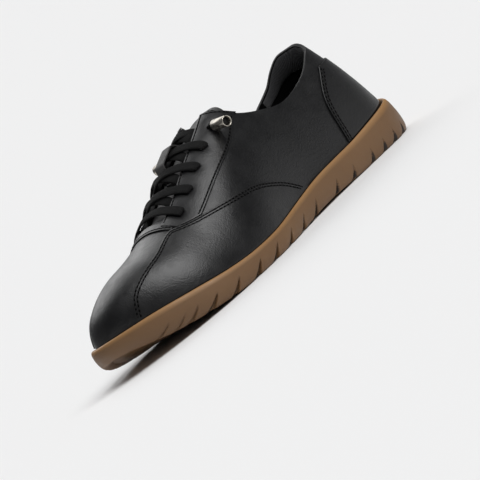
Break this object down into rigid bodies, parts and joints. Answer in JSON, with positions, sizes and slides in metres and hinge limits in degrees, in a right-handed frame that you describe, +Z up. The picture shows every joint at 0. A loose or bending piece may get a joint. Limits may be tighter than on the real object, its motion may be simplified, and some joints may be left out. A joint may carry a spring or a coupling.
{
  "type": "barefoot shoe",
  "caption": "Low black leather barefoot shoe for the left foot, with a thin cupped gum sole, a textile tongue and flat laces that end in metal tubes.",
  "frame": {"origin": "on the floor under the middle of the shoe's bounding box", "axes": "+X from heel to toe, +Y to the outer side, +Z up"},
  "size_m": [0.282, 0.1058, 0.093],
  "materials": {
    "gum_rubber": "brown gum rubber, satin, with a lighter lip",
    "insole_foam": "black textile over thin foam",
    "upper_leather": "black leather, fine grain, satin",
    "panel_leather": "black leather overlays, fine grain, double stitched",
    "tongue_textile": "dark grey leather with a folded top",
    "lace_cotton": "flat black woven lace",
    "pale_metal": "pale brushed metal"
  },
  "bodies": {
    "root": {"outsole": "gum_rubber", "insole": "insole_foam", "upper": "upper_leather", "tongue": "tongue_textile", "heel_counter": "panel_leather", "side_panel_outer": "panel_leather", "side_panel_inner": "panel_leather", "facing_outer": "panel_leather", "facing_inner": "panel_leather", "lace_tube_outer": "pale_metal", "lace_tube_inner": "pale_metal", "lace_bar": "lace_cotton", "lace_crossing_1": "lace_cotton", "lace_crossing_2": "lace_cotton", "lace_crossing_3": "lace_cotton", "lace_crossing_4": "lace_cotton"}
  },
  "joints": []
}
